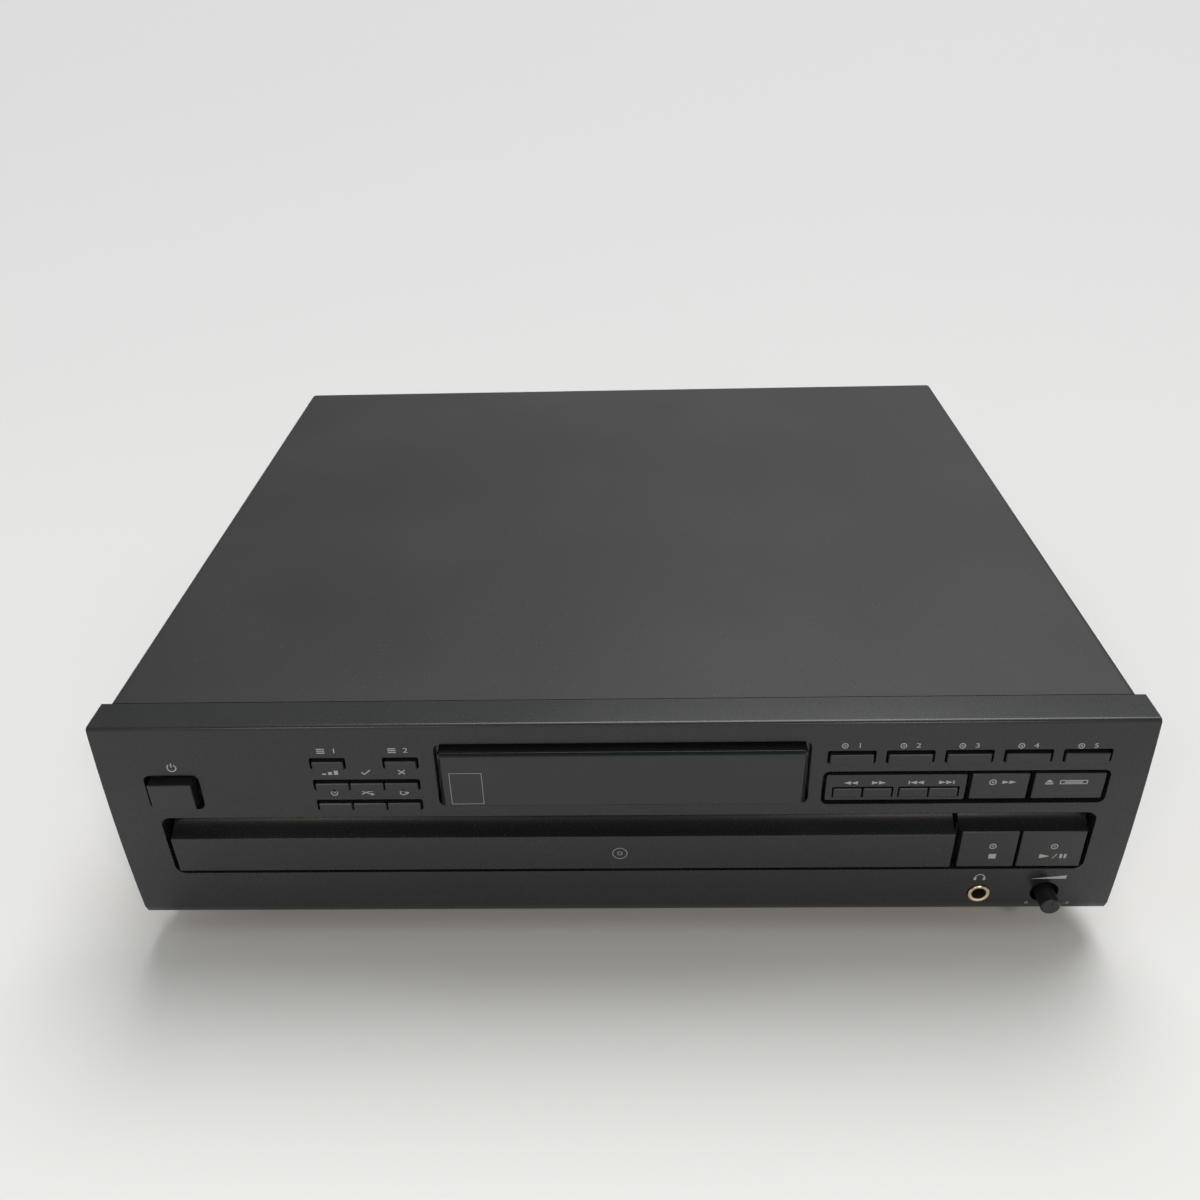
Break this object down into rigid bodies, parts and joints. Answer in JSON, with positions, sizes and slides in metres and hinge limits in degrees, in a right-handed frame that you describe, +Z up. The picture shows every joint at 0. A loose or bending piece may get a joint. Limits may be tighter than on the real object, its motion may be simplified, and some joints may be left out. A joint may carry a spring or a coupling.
{
  "type": "multi disc cd changer",
  "caption": "Full-width hi-fi disc changer: low black cabinet with a sliding front drawer that carries a rotating disc carousel, display window, keys and phones socket.",
  "frame": {"origin": "centre of the footprint, on the surface the feet stand on", "axes": "+X to the user's right, +Y to the back, +Z up; the front faces -Y"},
  "size_m": [0.44, 0.392, 0.124],
  "materials": {
    "satin_black_plastic": "semi-gloss moulded black",
    "black_key_plastic": "satin",
    "smoked_window": "smoked gloss",
    "cover_paint": "fine satin paint",
    "zinc_sheet": "zinc-plated",
    "foot_plastic": "matt",
    "black_screw": "blackened",
    "display_glass": "clear tube",
    "circuit_board": "phenolic board",
    "component_plastic": "moulded",
    "gold_plate": "polished",
    "knob_plastic": "gloss",
    "steel": "ground",
    "transformer_core": "varnished laminations",
    "mechanism_plastic": "moulded",
    "acetal": "moulded white",
    "tray_plastic": "satin",
    "belt_rubber": "smooth",
    "gland_rubber": "matt"
  },
  "bodies": {
    "cabinet": {"board_parts": "component_plastic", "bottom_chassis": "zinc_sheet", "case_screws": "black_screw", "clamp_bridge": "zinc_sheet", "cord_gland": "gland_rubber", "display_tube": "display_glass", "display_window": "smoked_window", "feet": "foot_plastic", "front_board": "circuit_board", "front_fascia": "satin_black_plastic", "jack_ring": "gold_plate", "key_panel": "satin_black_plastic", "key_switches": "component_plastic", "level_pot": "steel", "loader_frame": "mechanism_plastic", "loading_belt": "belt_rubber", "loading_motor": "steel", "main_board": "circuit_board", "output_jacks": "gold_plate", "phones_jack": "component_plastic", "power_transformer": "transformer_core", "rear_panel": "cover_paint", "top_cover": "cover_paint"},
    "edit_key_1": {"edit_key_1": "black_key_plastic"},
    "edit_key_2": {"edit_key_2": "black_key_plastic"},
    "program_key": {"program_key": "black_key_plastic"},
    "check_key": {"check_key": "black_key_plastic"},
    "clear_key": {"clear_key": "black_key_plastic"},
    "time_key": {"time_key": "black_key_plastic"},
    "random_key": {"random_key": "black_key_plastic"},
    "repeat_key": {"repeat_key": "black_key_plastic"},
    "disc_key_1": {"disc_key_1": "black_key_plastic"},
    "disc_key_2": {"disc_key_2": "black_key_plastic"},
    "disc_key_3": {"disc_key_3": "black_key_plastic"},
    "disc_key_4": {"disc_key_4": "black_key_plastic"},
    "disc_key_5": {"disc_key_5": "black_key_plastic"},
    "search_back_key": {"search_back_key": "black_key_plastic"},
    "search_forward_key": {"search_forward_key": "black_key_plastic"},
    "skip_back_key": {"skip_back_key": "black_key_plastic"},
    "skip_forward_key": {"skip_forward_key": "black_key_plastic"},
    "disc_skip_key": {"disc_skip_key": "black_key_plastic"},
    "open_close_key": {"open_close_key": "black_key_plastic"},
    "stop_key": {"stop_key": "black_key_plastic"},
    "play_pause_key": {"play_pause_key": "black_key_plastic"},
    "power_key": {"power_key": "black_key_plastic"},
    "level_shaft": {"level_shaft": "steel"},
    "level_knob": {"level_knob": "knob_plastic"},
    "motor_pulley": {"motor_pulley": "acetal"},
    "loading_gear": {"loading_gear": "acetal"},
    "drawer": {"drawer_tray": "tray_plastic", "drawer_front": "satin_black_plastic", "carousel_motor": "steel"},
    "carousel_pinion": {"carousel_pinion": "acetal"},
    "carousel": {"carousel": "tray_plastic"},
    "pickup": {"pickup_frame": "mechanism_plastic", "spindle_motor": "steel"},
    "disc_hub": {"disc_hub": "acetal"},
    "laser_sled": {"laser_sled": "component_plastic"},
    "clamp_puck": {"clamp_puck": "acetal"},
    "lift_slider": {"lift_slider": "acetal"}
  },
  "joints": [
    {"name": "edit_key_1_press", "type": "slide", "parent": "cabinet", "child": "edit_key_1", "axis": [0, 1, 0], "range_m": [0, 0.0008], "stiffness_N_per_m": 600, "springref_m": -0.0005},
    {"name": "edit_key_2_press", "type": "slide", "parent": "cabinet", "child": "edit_key_2", "axis": [0, 1, 0], "range_m": [0, 0.0008], "stiffness_N_per_m": 600, "springref_m": -0.0005},
    {"name": "program_key_press", "type": "slide", "parent": "cabinet", "child": "program_key", "axis": [0, 1, 0], "range_m": [0, 0.0008], "stiffness_N_per_m": 600, "springref_m": -0.0005},
    {"name": "check_key_press", "type": "slide", "parent": "cabinet", "child": "check_key", "axis": [0, 1, 0], "range_m": [0, 0.0008], "stiffness_N_per_m": 600, "springref_m": -0.0005},
    {"name": "clear_key_press", "type": "slide", "parent": "cabinet", "child": "clear_key", "axis": [0, 1, 0], "range_m": [0, 0.0008], "stiffness_N_per_m": 600, "springref_m": -0.0005},
    {"name": "time_key_press", "type": "slide", "parent": "cabinet", "child": "time_key", "axis": [0, 1, 0], "range_m": [0, 0.0008], "stiffness_N_per_m": 600, "springref_m": -0.0005},
    {"name": "random_key_press", "type": "slide", "parent": "cabinet", "child": "random_key", "axis": [0, 1, 0], "range_m": [0, 0.0008], "stiffness_N_per_m": 600, "springref_m": -0.0005},
    {"name": "repeat_key_press", "type": "slide", "parent": "cabinet", "child": "repeat_key", "axis": [0, 1, 0], "range_m": [0, 0.0008], "stiffness_N_per_m": 600, "springref_m": -0.0005},
    {"name": "disc_key_1_press", "type": "slide", "parent": "cabinet", "child": "disc_key_1", "axis": [0, 1, 0], "range_m": [0, 0.0008], "stiffness_N_per_m": 600, "springref_m": -0.0005},
    {"name": "disc_key_2_press", "type": "slide", "parent": "cabinet", "child": "disc_key_2", "axis": [0, 1, 0], "range_m": [0, 0.0008], "stiffness_N_per_m": 600, "springref_m": -0.0005},
    {"name": "disc_key_3_press", "type": "slide", "parent": "cabinet", "child": "disc_key_3", "axis": [0, 1, 0], "range_m": [0, 0.0008], "stiffness_N_per_m": 600, "springref_m": -0.0005},
    {"name": "disc_key_4_press", "type": "slide", "parent": "cabinet", "child": "disc_key_4", "axis": [0, 1, 0], "range_m": [0, 0.0008], "stiffness_N_per_m": 600, "springref_m": -0.0005},
    {"name": "disc_key_5_press", "type": "slide", "parent": "cabinet", "child": "disc_key_5", "axis": [0, 1, 0], "range_m": [0, 0.0008], "stiffness_N_per_m": 600, "springref_m": -0.0005},
    {"name": "search_back_key_press", "type": "slide", "parent": "cabinet", "child": "search_back_key", "axis": [0, 1, 0], "range_m": [0, 0.0008], "stiffness_N_per_m": 600, "springref_m": -0.0005},
    {"name": "search_forward_key_press", "type": "slide", "parent": "cabinet", "child": "search_forward_key", "axis": [0, 1, 0], "range_m": [0, 0.0008], "stiffness_N_per_m": 600, "springref_m": -0.0005},
    {"name": "skip_back_key_press", "type": "slide", "parent": "cabinet", "child": "skip_back_key", "axis": [0, 1, 0], "range_m": [0, 0.0008], "stiffness_N_per_m": 600, "springref_m": -0.0005},
    {"name": "skip_forward_key_press", "type": "slide", "parent": "cabinet", "child": "skip_forward_key", "axis": [0, 1, 0], "range_m": [0, 0.0008], "stiffness_N_per_m": 600, "springref_m": -0.0005},
    {"name": "disc_skip_key_press", "type": "slide", "parent": "cabinet", "child": "disc_skip_key", "axis": [0, 1, 0], "range_m": [0, 0.0008], "stiffness_N_per_m": 600, "springref_m": -0.0005},
    {"name": "open_close_key_press", "type": "slide", "parent": "cabinet", "child": "open_close_key", "axis": [0, 1, 0], "range_m": [0, 0.0008], "stiffness_N_per_m": 600, "springref_m": -0.0005},
    {"name": "stop_key_press", "type": "slide", "parent": "cabinet", "child": "stop_key", "axis": [0, 1, 0], "range_m": [0, 0.0008], "stiffness_N_per_m": 600, "springref_m": -0.0005},
    {"name": "play_pause_key_press", "type": "slide", "parent": "cabinet", "child": "play_pause_key", "axis": [0, 1, 0], "range_m": [0, 0.0008], "stiffness_N_per_m": 600, "springref_m": -0.0005},
    {"name": "power_key_press", "type": "slide", "parent": "cabinet", "child": "power_key", "axis": [0, 1, 0], "range_m": [0, 0.003], "stiffness_N_per_m": 300, "springref_m": -0.0005},
    {"name": "level_push", "type": "slide", "parent": "cabinet", "child": "level_shaft", "axis": [0, 1, 0], "range_m": [0, 0.008], "stiffness_N_per_m": 150, "springref_m": -0.002},
    {"name": "level_turn", "type": "hinge", "parent": "level_shaft", "child": "level_knob", "pos_m": [0.19021, -0.18801, 0.0274], "axis": [0, 1, 0], "range_deg": [-150, 150]},
    {"name": "drawer_slide", "type": "slide", "parent": "cabinet", "child": "drawer", "axis": [0, -1, 0], "range_m": [0, 0.205]},
    {"name": "loading_gear_turn", "type": "hinge", "parent": "cabinet", "child": "loading_gear", "pos_m": [0.11401, -0.12601, 0.038], "axis": [0, 0, 1], "continuous": true},
    {"name": "motor_pulley_turn", "type": "hinge", "parent": "cabinet", "child": "motor_pulley", "pos_m": [0.11401, -0.07601, 0.038], "axis": [0, 0, 1], "continuous": true},
    {"name": "carousel_turn", "type": "hinge", "parent": "drawer", "child": "carousel", "pos_m": [-0.026, 0.004, 0.055], "axis": [0, 0, 1], "continuous": true},
    {"name": "carousel_pinion_turn", "type": "hinge", "parent": "drawer", "child": "carousel_pinion", "pos_m": [-0.14974, 0.12774, 0.055], "axis": [0, 0, 1], "continuous": true},
    {"name": "pickup_lift", "type": "hinge", "parent": "cabinet", "child": "pickup", "pos_m": [-0.026, 0.01161, 0.033], "axis": [1, 0, 0], "range_deg": [0, 9.5]},
    {"name": "lift_slide", "type": "slide", "parent": "cabinet", "child": "lift_slider", "axis": [1, 0, 0], "range_m": [0, 0.02386]},
    {"name": "disc_hub_turn", "type": "hinge", "parent": "pickup", "child": "disc_hub", "pos_m": [-0.026, 0.11042, 0.04181], "axis": [0, 0.165, 0.9863], "continuous": true},
    {"name": "laser_sled_slide", "type": "slide", "parent": "pickup", "child": "laser_sled", "axis": [0, -0.9863, 0.165], "range_m": [0, 0.033]},
    {"name": "clamp_puck_turn", "type": "hinge", "parent": "cabinet", "child": "clamp_puck", "pos_m": [-0.026, 0.10761, 0.066], "axis": [0, 0, 1], "continuous": true}
  ],
  "couplings": [
    {"joint": "loading_gear_turn", "follows": "drawer_slide", "rad_per_m": 83.333},
    {"joint": "motor_pulley_turn", "follows": "drawer_slide", "rad_per_m": 385.42},
    {"joint": "carousel_pinion_turn", "follows": "carousel_turn", "ratio": -10.667},
    {"joint": "lift_slide", "follows": "pickup_lift", "m_per_rad": 0.14328}
  ]
}
